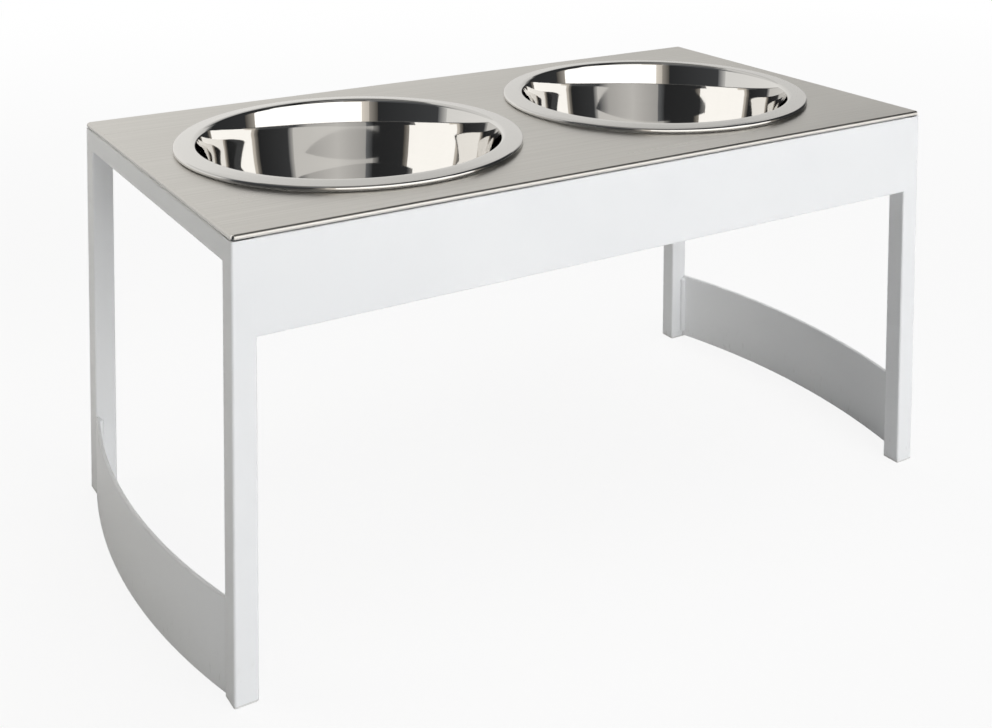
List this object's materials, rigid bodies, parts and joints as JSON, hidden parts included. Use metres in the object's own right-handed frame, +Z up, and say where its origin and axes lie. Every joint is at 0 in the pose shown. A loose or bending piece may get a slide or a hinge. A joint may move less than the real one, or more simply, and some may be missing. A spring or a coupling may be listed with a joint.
{
  "type": "elevated dog feeder",
  "caption": "Raised feeding stand: white tube and flat-bar frame with bowed end stretchers, a brushed steel tray top and polished drop-in bowls that lift out.",
  "frame": {"origin": "on the floor, under the middle of the feeder", "axes": "+X along the length to the right, +Y from the apron to the back, +Z up"},
  "size_m": [0.616, 0.312, 0.294],
  "materials": {
    "white_coat": "satin white powder coat",
    "plug_plastic": "moulded polyethylene, white",
    "foam": "dense dark foam",
    "brushed_tray": "stainless, brushed along its length",
    "zinc": "zinc plated",
    "polished_bowl": "stainless, mirror polished"
  },
  "bodies": {
    "frame": {"front_left_leg": "white_coat", "front_right_leg": "white_coat", "rear_left_leg": "white_coat", "rear_right_leg": "white_coat", "left_top_rail": "white_coat", "right_top_rail": "white_coat", "rear_top_rail": "white_coat", "front_top_rail": "white_coat", "front_apron": "white_coat", "left_stretcher": "white_coat", "right_stretcher": "white_coat", "front_left_corner_tab": "white_coat", "front_right_corner_tab": "white_coat", "rear_left_corner_tab": "white_coat", "rear_right_corner_tab": "white_coat", "front_left_foot_plug": "plug_plastic", "front_right_foot_plug": "plug_plastic", "rear_left_foot_plug": "plug_plastic", "rear_right_foot_plug": "plug_plastic", "left_cushion_strip": "foam", "right_cushion_strip": "foam", "front_cushion_strip": "foam", "rear_cushion_strip": "foam", "top_tray": "brushed_tray", "tray_studs": "zinc", "stud_washers": "zinc", "stud_nuts": "zinc"},
    "left_bowl": {"left_bowl": "polished_bowl"},
    "right_bowl": {"right_bowl": "polished_bowl"}
  },
  "joints": [
    {"name": "left_bowl_lift", "type": "slide", "parent": "frame", "child": "left_bowl", "axis": [0, 0, 1], "range_m": [0, 0.12]},
    {"name": "right_bowl_lift", "type": "slide", "parent": "frame", "child": "right_bowl", "axis": [0, 0, 1], "range_m": [0, 0.12]}
  ]
}
